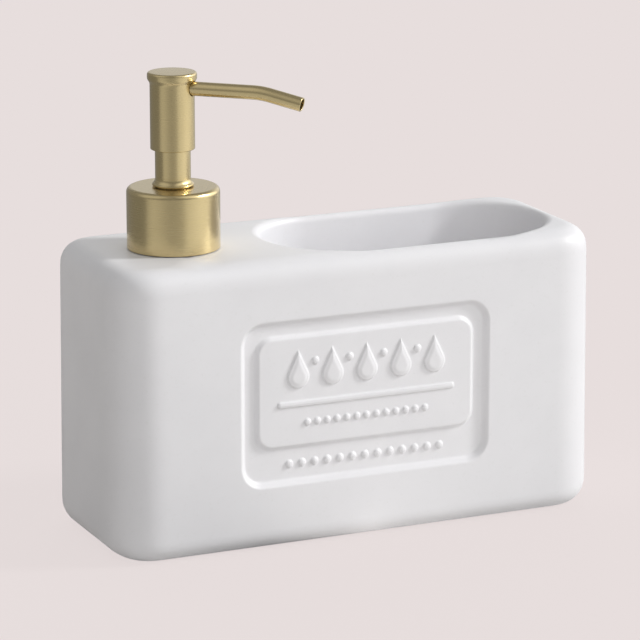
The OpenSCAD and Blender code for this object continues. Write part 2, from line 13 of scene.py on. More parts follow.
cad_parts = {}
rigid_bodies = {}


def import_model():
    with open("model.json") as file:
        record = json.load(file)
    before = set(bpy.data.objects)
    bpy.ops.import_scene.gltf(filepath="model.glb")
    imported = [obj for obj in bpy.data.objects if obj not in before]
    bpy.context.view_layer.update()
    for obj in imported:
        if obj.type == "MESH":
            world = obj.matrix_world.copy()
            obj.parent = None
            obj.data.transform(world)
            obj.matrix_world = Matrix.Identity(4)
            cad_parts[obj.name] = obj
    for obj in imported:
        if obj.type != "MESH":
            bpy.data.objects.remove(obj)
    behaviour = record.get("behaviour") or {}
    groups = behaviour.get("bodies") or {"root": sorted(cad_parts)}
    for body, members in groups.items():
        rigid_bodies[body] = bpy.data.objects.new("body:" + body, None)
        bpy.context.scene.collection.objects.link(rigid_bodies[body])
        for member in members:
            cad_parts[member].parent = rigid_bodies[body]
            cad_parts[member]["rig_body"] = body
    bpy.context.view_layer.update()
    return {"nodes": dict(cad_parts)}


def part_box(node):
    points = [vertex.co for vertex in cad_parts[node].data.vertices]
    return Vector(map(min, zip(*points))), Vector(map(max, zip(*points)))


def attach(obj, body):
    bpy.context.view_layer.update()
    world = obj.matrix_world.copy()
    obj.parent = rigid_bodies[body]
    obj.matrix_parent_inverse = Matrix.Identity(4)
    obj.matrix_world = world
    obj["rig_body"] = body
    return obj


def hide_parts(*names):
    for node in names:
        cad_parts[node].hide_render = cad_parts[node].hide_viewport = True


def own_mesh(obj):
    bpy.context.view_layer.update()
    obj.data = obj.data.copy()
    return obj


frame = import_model()

MM = 0.001
UP = np.array([0.0, 0.0, 1.0])

# The glazed body, at the size of the solid that it stands for
BODY_LOW, BODY_HIGH = (np.array(corner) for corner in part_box("ceramic_body"))
BODY_W, BODY_D, BODY_H = BODY_HIGH - BODY_LOW
EDGE_POWER = 2.3  # 2 would be a plain arc; more lets the curvature ease in
CORNER_REACH = 17.4 * MM
DECK_REACH = 9.0 * MM
BASE_REACH = 7.8 * MM
WALL_T = 4.5 * MM
INNER_REACH = 11 * MM
INNER_EDGE = 3 * MM
INNER_STEP = 0.3 * MM
CORNER_STEPS, EDGE_STEPS = 14, 9
FRONT_STEP, SIDE_STEP, LEVEL_STEP = 5 * MM, 6 * MM, 4 * MM
INNER_LINE_STEP = 8 * MM
EDGE_SHARE = 0.36
END_GROWTH = 0.4  # the base is rounder at the block's two ends
END_LEAN = (1.1 * MM, 0.0)  # how far the ends stand out, at the base and at the deck
LEAN_START = 76 * MM

# The sponge pocket in the deck
POCKET_X = 31.25 * MM
POCKET_L = 110 * MM
POCKET_W = BODY_D - 14 * MM
POCKET_FLOOR_Z = BODY_H - 82 * MM
POCKET_LIP = 3.4 * MM
POCKET_LIP_SHARE = 0.6
POCKET_WALL_TOP = BODY_H - POCKET_LIP - 2 * MM
POCKET_FLOOR_R = 7 * MM
POCKET_END_STEPS, POCKET_SIDE_STEP, POCKET_LEVEL_STEP = 40, 2 * MM, 8 * MM
CREST_ROWS = (4.6 * MM, 6 * MM, 7.5 * MM, 9 * MM)
CREST_GAP = 0.45 * MM
CREST_STEP, CREST_THINNING = 2 * MM, 4

# The pump's axis and the hole for its neck
PUMP_X = float(sum(corner[0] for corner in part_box("collar_shell")) / 2)
NECK_HOLE_R = 14 * MM
NECK_HOLE_EDGE = 0.5 * MM
NECK_HOLE_SIDES = 96

# The label: a sunken field, a raised panel in it, and ornaments on both
FIELD_W, FIELD_H, FIELD_Z, FIELD_R = 96.4 * MM, 59.2 * MM, 24.4 * MM, 7.5 * MM
FIELD_DEEP = 2.1 * MM
FIELD_SLOPE = 3.0 * MM
CHANNEL_W, BAND_H = 5.4 * MM, 13 * MM
PANEL_W = FIELD_W - 2 * CHANNEL_W
PANEL_H = FIELD_H - CHANNEL_W - BAND_H
PANEL_Z = FIELD_Z + BAND_H + PANEL_H / 2
PANEL_R = 6 * MM
PANEL_DEEP = 0.7 * MM
PANEL_SLOPE = 2.4 * MM
RELIEF = 1.15 * MM
RELIEF_SLOPE = 0.95 * MM
CROWN_SHARE = 0.35
DROP_COUNT, DROP_PITCH, DROP_R, DROP_TIP, DROP_Z = 5, 13.5 * MM, 4.1 * MM, 9.6 * MM, 63.3 * MM
BUBBLE_R, BUBBLE_RISE = 1.3 * MM, 5.4 * MM
BAR_W, BAR_H, BAR_Z = 70 * MM, 2.1 * MM, 53.4 * MM
BEAD_R, BEAD_PITCH, BEAD_Z = 1.15 * MM, 3.9 * MM, 46.2 * MM
BAND_BEAD_R, BAND_BEAD_PITCH = 1.35 * MM, 5 * MM
BEAD_COUNT = 13
FINE_STEP = 0.4 * MM
LABEL_MARGIN = 2.4 * MM

# The metal pieces of the pump
COLLAR_LOW, COLLAR_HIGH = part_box("collar_shell")
SLEEVE_LOW, SLEEVE_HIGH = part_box("guide_sleeve")
HEAD_LOW, HEAD_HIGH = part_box("head_shell")
COLLAR_R, COLLAR_T, COLLAR_EDGE = (COLLAR_HIGH.x - COLLAR_LOW.x) / 2, 0.75 * MM, 1.9 * MM
COLLAR_TOP_T, COLLAR_HOLE_R = 0.8 * MM, 6.7 * MM
SLEEVE_R, SLEEVE_T = 6.4 * MM, 0.5 * MM
FOOT_R, FOOT_RIM, FOOT_FLARE = (SLEEVE_HIGH.x - SLEEVE_LOW.x) / 2, 0.8 * MM, 2.4 * MM
FOOT_Z = COLLAR_HIGH.z + 0.3 * MM
RIM_UNDER_SHARE, RIM_OVER_SHARE, RIM_TOP_SHARE, FLARE_SHARE = 0.98, 0.7, 0.9, 0.55
HEAD_R, HEAD_T, HEAD_CAP_T = 8 * MM, 0.55 * MM, 0.8 * MM
LIP_R = (HEAD_HIGH.x - HEAD_LOW.x) / 2
LIP_ROUND, LIP_BAND, LIP_FLARE_H = 1.2 * MM, 0.95 * MM, 2.6 * MM
HEAD_RIM = 0.35 * MM
HEAD_CROWN = 0.25 * MM
SHEET_EDGE = 0.18 * MM
TURNS = 144
HOLE_MARGIN = 3.6 * MM
HOLE_CLEAR_SHARE = 1.2
HOLE_ROWS, HEAD_ROWS, HOLE_COLUMNS, HOLE_STEPS = 12, 30, 11, 72

# The spout, from its root in the head to its open end
SPOUT_Z = HEAD_HIGH.z - 5.95 * MM
SPOUT_YAW = math.radians(-43)
SPOUT_R, SPOUT_T, SPOUT_EDGE = 2.55 * MM, 0.5 * MM, 0.225 * MM
SPOUT_ROOT, SPOUT_STRAIGHT, SPOUT_BEND_R = 3.7 * MM, 30.4 * MM, 30 * MM
SPOUT_BEND, SPOUT_END = math.radians(12.5), 12.2 * MM
SPOUT_HOLE_R = SPOUT_R + 0.2 * MM
SPOUT_SIDES = 64
ROOT_RINGS, BEND_RINGS, END_RINGS = 12, 14, 6

# The return spring, which each stroke squeezes
SPRING_LOW, SPRING_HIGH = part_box("return_spring")
SPRING_R, WIRE_R, WIRE_SIDES = (SPRING_HIGH.x - SPRING_LOW.x) / 2, 0.45 * MM, 12
SPRING_TURNS, SPRING_RINGS = 10, 36

# The photograph's point of view: a long lens from the left, looking slightly down, in degrees
LENS_MM, SENSOR_MM = 195.78, 36
CAMERA_PLACE = (-0.5137, -1.1303, 0.3906)
CAMERA_DOWN, CAMERA_TURN = 14.34, -24.34

# The photograph's background, and the floor that shows it
BACKGROUND = (0.811, 0.741, 0.734)
FLOOR_LIT = (0.82, 0.748, 0.741)
FLOOR_GLOW = 0.88
FLOOR_R, FLOOR_SIDES, FLOOR_MOTTLE = 6, 96, 1.01

# What lights the object. The table's greys go by azimuth, from +X towards +Y. The room's soft round
# lamps each have an azimuth, a height, a half-width and a strength.
TABLE_WARMTH = 0.04
TABLE_SHADES = (
    (-180, 0.9), (-165, 0.6), (-140, 0.25), (-110, 0.6), (-90, 0.85), (-60, 0.6), (-30, 0.45),
    (0, 0.45), (30, 0.6), (110, 0.9),
)
ROOM_LAMPS = (
    (180, 40, 45, 0.2), (-135, 12, 45, 0.5), (-90, 20, 45, 0.95), (-45, 15, 45, 0.85),
    (0, 12, 45, 0.45), (45, 12, 45, 1.1), (90, 50, 45, 1.2),
)

# What shines mirrors the far table and the backdrop over it
MIRRORED_TABLE = (
    (-180, 0.5), (-165, 0.6), (-120, 0.4), (-100, 0.45), (-80, 0.85), (-35, 1.0), (-10, 0.9),
    (10, 0.7), (35, 0.55), (80, 0.25),
)
MIRRORED_EVEN = 0.27
MIRRORED_LAMPS = (
    (-30, 12, 30, 0.9), (0, 12, 30, 1.25), (30, 12, 30, 0.5), (60, 12, 30, 0.35),
    (-45, 45, 40, 0.7), (180, 45, 40, 0.35),
)

# The moulded pieces: the material's name, its colour, its roughness and how far light soaks in
WHITE, CREAM = (0.80, 0.80, 0.79), (0.69, 0.63, 0.47)
MOULDED = {
    "neck_insert": ("white_polypropylene", WHITE, 0.32, 0.1),
    "pump_housing": ("natural_polypropylene", (0.74, 0.75, 0.73), 0.28, 0.3),
    "dip_tube": ("tube_polyethylene", (0.70, 0.73, 0.75), 0.25, 0.35),
    "piston": ("piston_polyethylene", (0.36, 0.43, 0.52), 0.38, 0.1),
    "lower_stem": ("stem_polypropylene", WHITE, 0.32, 0.1),
    "upper_stem": ("upper_stem_polypropylene", WHITE, 0.32, 0.1),
    "chaplet": ("chaplet_polypropylene", WHITE, 0.32, 0.1),
    "closure_cap": ("cap_polypropylene", CREAM, 0.42, 0.05),
    "head_core": ("core_polypropylene", CREAM, 0.42, 0.05),
}


class Skin:
    """A closed mesh that grows piece by piece, with the true normal at each point."""

    def __init__(self):
        self.points, self.normals, self.faces = [], [], []

    def add(self, points, normals):
        """Adds points with their normals and returns their numbers, in the same layout."""
        points = np.asarray(points, float)
        normals = np.broadcast_to(normals, points.shape)
        start = len(self.points)
        self.points.extend(points.reshape(-1, 3))
        self.normals.extend(normals.reshape(-1, 3))
        return np.arange(start, start + points.size // 3).reshape(points.shape[:-1])

    def band(self, ring, beside):
        """Quads between two closed rings of equal length."""
        for a, b, c, d in zip(ring, np.roll(ring, -1), np.roll(beside, -1), beside, strict=True):
            self.faces.append([a, b, c, d])

    def sheet(self, rows):
        """Quads between closed rings, one row after another."""
        for ring, beside in zip(rows[:-1], rows[1:], strict=True):
            self.band(ring, beside)

    def fan(self, ring, point, normal):
        """Triangles from a ring to one point."""
        middle = int(self.add([point], normal)[0])
        for a, b in zip(ring, np.roll(ring, -1), strict=True):
            self.faces.append([a, b, middle])

    def flat(self, loops, within=(), view=None):
        """Triangles that fill a face: the first loop is its rim, and the others are holes. Rim and
        holes bulge outwards everywhere. Points within the face may be given too. The view turns a
        point into two coordinates, and the face is seen from above without it."""
        numbers = np.concatenate([*loops, np.asarray(within, int)])
        owner = np.concatenate([np.full(len(loop), number) for number, loop in enumerate(loops)])
        owner = np.append(owner, np.zeros(len(within), int))
        view = view or (lambda point: point[:2])
        seen = [Vector(view(self.points[n])) / MM for n in numbers]
        edges, start = [], 0
        for loop in loops:
            count = len(loop)
            edges += [(start + i, start + (i + 1) % count) for i in range(count)]
            start += count
        _, _, faces, sources, _, _ = geometry.delaunay_2d_cdt(seen, edges, [], 1, 1e-6)
        for face in faces:
            corners = [sources[i][0] for i in face]
            if owner[corners[0]] and len(set(owner[corners])) == 1:
                continue
            self.faces.append([int(numbers[i]) for i in corners])

    def build(self, name):
        """Makes the object, with each face turned to the side of its normals."""
        points, normals = np.array(self.points), np.array(self.normals)
        faces = []
        for face in self.faces:
            a, b, c = points[face[0]], points[face[1]], points[face[2]]
            turn = np.cross(b - a, points[face[-1]] - a) + np.cross(c - b, a - b)
            faces.append(face if turn @ normals[face].sum(axis=0) > 0 else face[::-1])
        mesh = bpy.data.meshes.new(name)
        mesh.from_pydata(points.tolist(), [], faces)
        mesh.shade_smooth()
        mesh.normals_split_custom_set_from_vertices(normals.tolist())
        piece = bpy.data.objects.new(name, mesh)
        bpy.context.scene.collection.objects.link(piece)
        return piece


def spread(start, end, step):
    """Even values from start to end, about one step apart, without the two ends."""
    count = max(1, round(abs(end - start) / step))
    return np.linspace(start, end, count + 1)[1:-1]


def circle(sides, start=0.0):
    """Unit vectors round a full turn, in even steps."""
    turn = np.linspace(0, 2 * math.pi, sides, endpoint=False) + start
    return np.stack([np.cos(turn), np.sin(turn)], axis=1)


def soft_quarter(steps):
    """Unit quarter from +X to +Y whose curvature eases in, as (points, normals)."""
    turn = np.linspace(0, math.pi / 2, steps + 1)
    points = np.stack([np.cos(turn), np.sin(turn)], axis=1).clip(0) ** (2 / EDGE_POWER)
    normals = points ** (EDGE_POWER - 1)
    return points, normals / np.linalg.norm(normals, axis=1, keepdims=True)


def block_outline(width, depth, reach, front, step):
    """Outline of a block with soft corners, seen from above, as (points, normals). It starts on the
    front."""
    half = np.array([width / 2 - reach, depth / 2 - reach])
    corner, corner_normals = soft_quarter(CORNER_STEPS)
    sides = [
        (front, np.array([1, 0]), np.array([0, -1])),
        (spread(-half[1], half[1], step), np.array([0, 1]), np.array([1, 0])),
        (spread(-half[0], half[0], step), np.array([-1, 0]), np.array([0, 1])),
        (spread(-half[1], half[1], step), np.array([0, -1]), np.array([-1, 0])),
    ]
    points, normals = [], []
    for number, (lines, along, out) in enumerate(sides):
        reach_out = abs(out) @ (half + reach)
        points.append(np.outer(lines, along) + out * reach_out)
        normals.append(np.broadcast_to(out, (len(lines), 2)))
        turn = (number - 1) * math.pi / 2
        turned = np.array([[math.cos(turn), math.sin(turn)], [-math.sin(turn), math.cos(turn)]])
        centre = half * (along + out)
        points.append(corner @ turned * reach + centre)
        normals.append(corner_normals @ turned)
    return np.concatenate(points), np.concatenate(normals)


def stadium_outline(length, width, end_steps, step):
    """Outline with two half-round ends, seen from above, as (points, normals)."""
    half = (length - width) / 2
    points, normals = [], []
    for side in (1, -1):
        turn = np.linspace(-math.pi / 2, math.pi / 2, end_steps + 1)
        arc = side * np.stack([np.cos(turn), np.sin(turn)], axis=1)
        points.append(arc * width / 2 + [side * half, 0])
        normals.append(arc)
        lines = spread(side * half, -side * half, step)
        points.append(np.stack([lines, np.full(len(lines), side * width / 2)], axis=1))
        normals.append(np.broadcast_to([0, side], (len(lines), 2)))
    return np.concatenate(points), np.concatenate(normals)


def pocket_outline():
    return stadium_outline(POCKET_L, POCKET_W, POCKET_END_STEPS, POCKET_SIDE_STEP)


def edge_rows(inset, z, side, up):
    """Rows round an edge, from its upright wall to its level face:
    (inset, z, outward share, upward share)."""
    points, normals = soft_quarter(EDGE_STEPS)
    reach = abs(inset)
    return [
        (inset * (1 - x), z + up * reach * (y - 1), side * out, up * rise)
        for (x, y), (out, rise) in zip(points, normals, strict=True)
    ]


def hollow_rows(reach):
    """Rows from a hollow's wall down to its floor at level 0, each as edge_rows gives them."""
    points, normals = soft_quarter(EDGE_STEPS)
    return [
        (reach * (1 - x), reach * (1 - y), -out, rise)
        for (x, y), (out, rise) in zip(points, normals, strict=True)
    ]


def swept(outline, rows, shift=0.0):
    """Points and normals of rows that run round an outline. A row's inset moves it inwards."""
    points, normals = outline
    places, leans = [], []
    for inset, z, out, rise in rows:
        level = points - normals * inset + [shift, 0]
        places.append(np.column_stack([level, np.full(len(level), z)]))
        leans.append(np.column_stack([normals * out, np.full(len(level), rise)]))
    return np.array(places), np.array(leans)


def ease(share):
    """Goes from 0 to 1 with a soft start and end."""
    share = np.clip(share, 0, 1)
    return share**3 * (share * (6 * share - 15) + 10)


def field_distance(x, z, middle_z, width, height, round_r):
    """Distance outside a rounded oblong on the front."""
    across = abs(x) - (width / 2 - round_r)
    upward = abs(z - middle_z) - (height / 2 - round_r)
    outside = np.hypot(across.clip(0), upward.clip(0))
    return outside + np.minimum(np.maximum(across, upward), 0) - round_r


def drop_distance(x, z):
    """Distance outside a water drop with its round end at the origin and its tip up."""
    tilt = math.acos(DROP_R / DROP_TIP)
    across = abs(x)
    along = z * math.sin(tilt) - across * math.cos(tilt)
    side = z * math.cos(tilt) + across * math.sin(tilt) - DROP_R
    tip = np.hypot(across, z - DROP_TIP)
    distance = np.where(along < 0, np.hypot(across, z) - DROP_R, side)
    return np.where(along > DROP_TIP * math.sin(tilt), tip, distance)


def row_offset(x, count, pitch):
    """Where x lies from the nearest of a centred row of equal things."""
    number = np.round(x / pitch + (count - 1) / 2).clip(0, count - 1)
    return x - (number - (count - 1) / 2) * pitch


def ornament_distance(x, z):
    """Distance outside the nearest ornament of the label."""
    bubble_x = row_offset(x, DROP_COUNT - 1, DROP_PITCH)
    bead_x = row_offset(x, BEAD_COUNT, BEAD_PITCH)
    band_x = row_offset(x, BEAD_COUNT, BAND_BEAD_PITCH)
    return np.minimum.reduce([
        drop_distance(row_offset(x, DROP_COUNT, DROP_PITCH), z - DROP_Z),
        np.hypot(bubble_x, z - DROP_Z - BUBBLE_RISE) - BUBBLE_R,
        field_distance(x, z, BAR_Z, BAR_W, BAR_H, BAR_H / 2),
        np.hypot(bead_x, z - BEAD_Z) - BEAD_R,
        np.hypot(band_x, z - FIELD_Z - BAND_H / 2) - BAND_BEAD_R,
    ])


def label_depth(x, z):
    """Depth of the front below its plain face, with every edge as soft as glaze leaves it."""
    field = field_distance(x, z, FIELD_Z + FIELD_H / 2, FIELD_W, FIELD_H, FIELD_R)
    panel = field_distance(x, z, PANEL_Z, PANEL_W, PANEL_H, PANEL_R)
    ornament = ornament_distance(x, z)
    sunken = FIELD_DEEP * ease(0.5 - field / FIELD_SLOPE)
    raised = (FIELD_DEEP - PANEL_DEEP) * ease(0.5 - panel / PANEL_SLOPE)
    crown = 1 - CROWN_SHARE + CROWN_SHARE * ease(-ornament / (2 * BEAD_R))
    relief = RELIEF * crown * ease(0.5 - ornament / RELIEF_SLOPE)
    return sunken - raised - relief


def press_label(places, leans):
    """Presses the label into the points of the front, and leans their normals to match."""
    reach_x = FIELD_W / 2 + LABEL_MARGIN
    low, high = FIELD_Z - LABEL_MARGIN, FIELD_Z + FIELD_H + LABEL_MARGIN
    x, y, z = places[..., 0], places[..., 1], places[..., 2]
    on_label = (abs(x) < reach_x) & (z > low) & (z < high) & (y < -BODY_D / 2 + MM)
    x, z = x[on_label], z[on_label]
    near = 0.02 * MM
    slope_x = (label_depth(x + near, z) - label_depth(x - near, z)) / (2 * near)
    slope_z = (label_depth(x, z + near) - label_depth(x, z - near)) / (2 * near)
    places[on_label, 1] += label_depth(x, z)
    lean = np.stack([slope_x, -np.ones_like(slope_x), slope_z], axis=1)
    leans[on_label] = lean / np.linalg.norm(lean, axis=1, keepdims=True)


def front_lines():
    """Lines across the front: close together over the label, and wide apart beside it."""
    reach, edge = FIELD_W / 2 + LABEL_MARGIN, BODY_W / 2 - CORNER_REACH
    fine = np.linspace(-reach, reach, round(2 * reach / FINE_STEP) + 1)
    wide = spread(reach, edge, FRONT_STEP)
    return np.concatenate([-wide[::-1], fine, wide])


def wall_lines():
    """Levels up the wall: close together over the label, and wide apart beyond it."""
    low, high = FIELD_Z - LABEL_MARGIN, FIELD_Z + FIELD_H + LABEL_MARGIN
    fine = np.linspace(low, high, round((high - low) / FINE_STEP) + 1)
    below = spread(BASE_REACH * (1 + END_GROWTH), low, LEVEL_STEP)
    above = spread(high, BODY_H - DECK_REACH, LEVEL_STEP)
    return np.concatenate([below, fine, above])


def drop_off(inset, reach):
    """How far a rounded edge lies below its level face at an inset from the wall, and how steep
    it is there."""
    share = (1 - inset / reach).clip(0, 1 - 1e-4)
    hold = (1 - share**EDGE_POWER) ** (1 / EDGE_POWER)
    return reach * (1 - hold), (share / hold) ** (EDGE_POWER - 1)


def sink(places, leans, drop, slope, toward):
    """Lowers points by a drop, and leans their normals towards the way that it falls."""
    places[..., 2] -= drop
    leans[..., :2] += (leans[..., 2:].clip(0) * slope[..., None]) * toward
    leans /= np.linalg.norm(leans, axis=-1, keepdims=True)


def sink_to_outside(places, leans):
    """Lowers points by the rounding of the deck's outer edge."""
    edge, edge_normals = block_outline(BODY_W, BODY_D, CORNER_REACH, front_lines(), MM)
    apart = np.linalg.norm(places[..., None, :2] - edge, axis=-1)
    nearest = apart.argmin(axis=-1)
    toward = edge_normals[nearest]
    inset = ((edge[nearest] - places[..., :2]) * toward).sum(axis=-1)
    sink(places, leans, *drop_off(inset, DECK_REACH), toward)


def sink_to_pocket(places, leans):
    """Lowers points by the rounding of the pocket's mouth."""
    offset = places[..., :2] - [POCKET_X, 0]
    straight = (POCKET_L - POCKET_W) / 2
    offset[..., 0] -= offset[..., 0].clip(-straight, straight)
    distance = np.linalg.norm(offset, axis=-1)
    toward = -offset / distance[..., None].clip(1e-9)
    sink(places, leans, *drop_off(distance - POCKET_W / 2, POCKET_LIP), toward)


def pocket_distance(places):
    """Distance of points from the pocket's wall, seen from above."""
    end = abs(places[..., 0] - POCKET_X) - (POCKET_L - POCKET_W) / 2
    return np.hypot(end.clip(0), places[..., 1]) - POCKET_W / 2


def ceramic_outside(skin):
    """Adds the outer wall with its label. Returns the rims of the base and the deck."""
    outline = block_outline(BODY_W, BODY_D, CORNER_REACH, front_lines(), SIDE_STEP)
    base = edge_rows(BASE_REACH, 0, 1, -1)[::-1]
    rows = [*base, *((0, z, 1, 0) for z in wall_lines())]
    rows += [row for row in edge_rows(DECK_REACH, BODY_H, 1, 1) if row[0] < EDGE_SHARE * DECK_REACH]
    places, leans = swept(outline, rows)
    growth = END_GROWTH * outline[1][:, 0] ** 2
    for level, (inset, *_) in zip(places, base, strict=False):
        level[:, :2] -= outline[1] * (inset * growth)[:, None]
        level[:, 2] *= 1 + growth
    press_label(places, leans)
    grid = skin.add(places, leans)
    skin.sheet(grid)
    return grid[0], grid[-1]


def deck_points(skin, lip_reach):
    """Adds points between the deck's outer rim and the pocket's lip, over the rounded crest."""
    outline = block_outline(BODY_W, BODY_D, CORNER_REACH, front_lines()[::CREST_THINNING], CREST_STEP)
    places, leans = swept(outline, [(inset, BODY_H, 0, 1) for inset in CREST_ROWS])
    clear = pocket_distance(places) > lip_reach + CREST_GAP
    places, leans = places[clear], leans[clear]
    around = pocket_outline()
    lip_places, lip_leans = swept(around, [(-POCKET_LIP, BODY_H, 0, 1)], POCKET_X)
    lip_places, lip_leans = lip_places[0], lip_leans[0]
    apart = np.linalg.norm(lip_places[:, None, :2] - places[None, :, :2], axis=-1).min(axis=1)
    inside = BODY_D / 2 - abs(lip_places[:, 1]) > EDGE_SHARE * DECK_REACH + CREST_GAP
    keep = (apart > 2 * CREST_GAP) & inside
    places = np.concatenate([places, lip_places[keep]])
    leans = np.concatenate([leans, lip_leans[keep]])
    sink_to_outside(places, leans)
    sink_to_pocket(places, leans)
    return skin.add(places, leans)


def ceramic_pocket(skin):
    """Adds the pocket's lip, wall and floor. Returns its rim on the deck and how far out that lies."""
    outline = pocket_outline()
    reach = POCKET_LIP_SHARE * POCKET_LIP
    lip = [row for row in edge_rows(-POCKET_LIP, BODY_H, -1, 1) if -row[0] < reach]
    lip_places, lip_leans = swept(outline, lip[::-1], POCKET_X)
    sink_to_outside(lip_places, lip_leans)
    levels = spread(POCKET_WALL_TOP, POCKET_FLOOR_Z + POCKET_FLOOR_R, POCKET_LEVEL_STEP)
    rows = [(0, z, -1, 0) for z in levels]
    rows += [(i, POCKET_FLOOR_Z + z, out, rise) for i, z, out, rise in hollow_rows(POCKET_FLOOR_R)]
    places, leans = swept(outline, rows, POCKET_X)
    grid = skin.add(np.concatenate([lip_places, places]), np.concatenate([lip_leans, leans]))
    skin.sheet(grid)
    skin.flat([grid[-1]])
    return grid[0], -lip[-1][0]


def ceramic_neck_hole(skin):
    """Adds the wall of the hole for the pump, and returns its rims on the deck and under it."""
    around = circle(NECK_HOLE_SIDES)
    rows = edge_rows(-NECK_HOLE_EDGE, BODY_H, -1, 1)[::-1]
    rows.append((0, BODY_H - WALL_T + NECK_HOLE_EDGE, -1, 0))
    rows.append((-NECK_HOLE_EDGE, BODY_H - WALL_T, 0, -1))
    grid = skin.add(*swept((around * NECK_HOLE_R, around), rows, PUMP_X))
    skin.sheet(grid)
    return grid[0], grid[-1]


def ceramic_inside(skin, hole_rim):
    """Adds the reservoir's walls: a low room under the pocket, and a high one round the pump."""
    width, depth = BODY_W - 2 * WALL_T, BODY_D - 2 * WALL_T
    low_lines = spread(-width / 2 + INNER_REACH, width / 2 - INNER_REACH, INNER_LINE_STEP)
    step_z = POCKET_FLOOR_Z - WALL_T
    rows = [(i, WALL_T + z, out, rise) for i, z, out, rise in hollow_rows(INNER_EDGE)[::-1]]
    rows.append((0, step_z, -1, 0))
    outline = block_outline(width, depth, INNER_REACH, low_lines, INNER_LINE_STEP)
    low = skin.add(*swept(outline, rows))
    skin.sheet(low)
    skin.flat([low[0]])
    start, end = -width / 2 + INNER_STEP, POCKET_X - POCKET_L / 2 - WALL_T
    high_w = end - start
    high_lines = spread(-high_w / 2 + INNER_REACH, high_w / 2 - INNER_REACH, INNER_LINE_STEP)
    outline = block_outline(high_w, depth - 2 * INNER_STEP, INNER_REACH, high_lines, INNER_LINE_STEP)
    rows = [(0, step_z, -1, 0)]
    rows += [(i, BODY_H - WALL_T - z, out, -rise) for i, z, out, rise in hollow_rows(INNER_EDGE)]
    high = skin.add(*swept(outline, rows, (start + end) / 2))
    skin.sheet(high)
    skin.flat([low[-1], high[0]])
    skin.flat([high[-1], hole_rim])


def leaned(points):
    """Points of the body, with its two ends leaning out towards the base."""
    x, z = points[:, 0], points[:, 2]
    share = ease((abs(x) - LEAN_START) / (BODY_W / 2 - LEAN_START))
    points[:, 0] += np.sign(x) * share * np.interp(z, (0, BODY_H), END_LEAN)
    return points


def ceramic_body():
    """The glazed body: outside, label, pocket, neck hole and reservoir, as one closed skin."""
    skin = Skin()
    base_rim, deck_rim = ceramic_outside(skin)
    pocket_rim, lip_reach = ceramic_pocket(skin)
    hole_top, hole_foot = ceramic_neck_hole(skin)
    skin.flat([base_rim])
    skin.flat([deck_rim, pocket_rim, hole_top], deck_points(skin, lip_reach))
    ceramic_inside(skin, hole_foot)
    skin.points = leaned(np.array(skin.points))
    return skin.build("glazed_body")


def rounded_path(corners, steps=5):
    """Points and outward normals along a line with rounded corners, given as (r, z, rounding).
    The solid lies to the left of the line."""
    places = np.array([corner[:2] for corner in corners], float)
    points, normals = [], []
    for number, (r, z, rounding) in enumerate(corners):
        here = np.array([r, z])
        before = here - places[number - 1] if number else places[1] - here
        after = places[number + 1] - here if number + 1 < len(corners) else before
        before, after = before / np.linalg.norm(before), after / np.linalg.norm(after)
        first = math.atan2(-before[0], before[1])
        turn = math.remainder(math.atan2(-after[0], after[1]) - first, 2 * math.pi)
        if not rounding:
            points.append(here)
            normals.append([math.cos(first + turn / 2), math.sin(first + turn / 2)])
            continue
        start = here - before * rounding * abs(math.tan(turn / 2))
        side = math.copysign(rounding, turn)
        centre = start - side * np.array([math.cos(first), math.sin(first)])
        for angle in np.linspace(first, first + turn, steps + 1):
            normal = np.array([math.cos(angle), math.sin(angle)])
            points.append(centre + side * normal)
            normals.append(normal)
    return np.array(points), np.array(normals)


def turned_rows(points, normals):
    """Rows of points and normals of a line that turns about the pump's axis."""
    around = circle(TURNS, SPOUT_YAW)
    places = [np.column_stack([around * r + [PUMP_X, 0], np.full(TURNS, z)]) for r, z in points]
    leans = [np.column_stack([around * out, np.full(TURNS, rise)]) for out, rise in normals]
    return np.array(places), np.array(leans)


def turned_ring(name, corners):
    """A ring-shaped piece whose section is a closed line round the pump's axis."""
    skin = Skin()
    middle = [(corners[-1][0] + corners[0][0]) / 2, (corners[-1][1] + corners[0][1]) / 2, 0]
    points, normals = rounded_path([middle, *corners, middle])
    grid = skin.add(*turned_rows(points[:-1], normals[:-1]))
    skin.sheet([*grid, grid[0]])
    return skin.build(name)


def collar():
    """Drawn sleeve over the closure, with a soft upper edge and trimmed rims."""
    low, top = COLLAR_LOW.z, COLLAR_HIGH.z
    inner = COLLAR_R - COLLAR_T
    ceiling = top - COLLAR_TOP_T
    return turned_ring("satin_collar", [
        (COLLAR_HOLE_R, ceiling, SHEET_EDGE), (inner, ceiling, COLLAR_EDGE - COLLAR_T),
        (inner, low, SHEET_EDGE), (COLLAR_R, low, SHEET_EDGE),
        (COLLAR_R, top, COLLAR_EDGE), (COLLAR_HOLE_R, top, SHEET_EDGE),
    ])


def sleeve():
    """Narrow guide sleeve with a flared, rolled foot."""
    low, top = SLEEVE_LOW.z, SLEEVE_HIGH.z
    rim = FOOT_RIM / 2
    inner = SLEEVE_R - SLEEVE_T
    flare_w = FOOT_R - rim - SLEEVE_R
    slope = flare_w / math.tan(math.acos(1 - flare_w / FOOT_FLARE) / 2)
    return turned_ring("satin_sleeve", [
        (inner, top, SHEET_EDGE), (inner, low, SHEET_EDGE), (SLEEVE_R, low, SHEET_EDGE),
        (SLEEVE_R, FOOT_Z, SHEET_EDGE), (FOOT_R, FOOT_Z, rim * RIM_UNDER_SHARE),
        (FOOT_R, FOOT_Z + FOOT_RIM * RIM_TOP_SHARE, rim * RIM_OVER_SHARE),
        (SLEEVE_R, FOOT_Z + FOOT_RIM + slope * FLARE_SHARE, FOOT_FLARE),
        (SLEEVE_R, top, SHEET_EDGE),
    ])


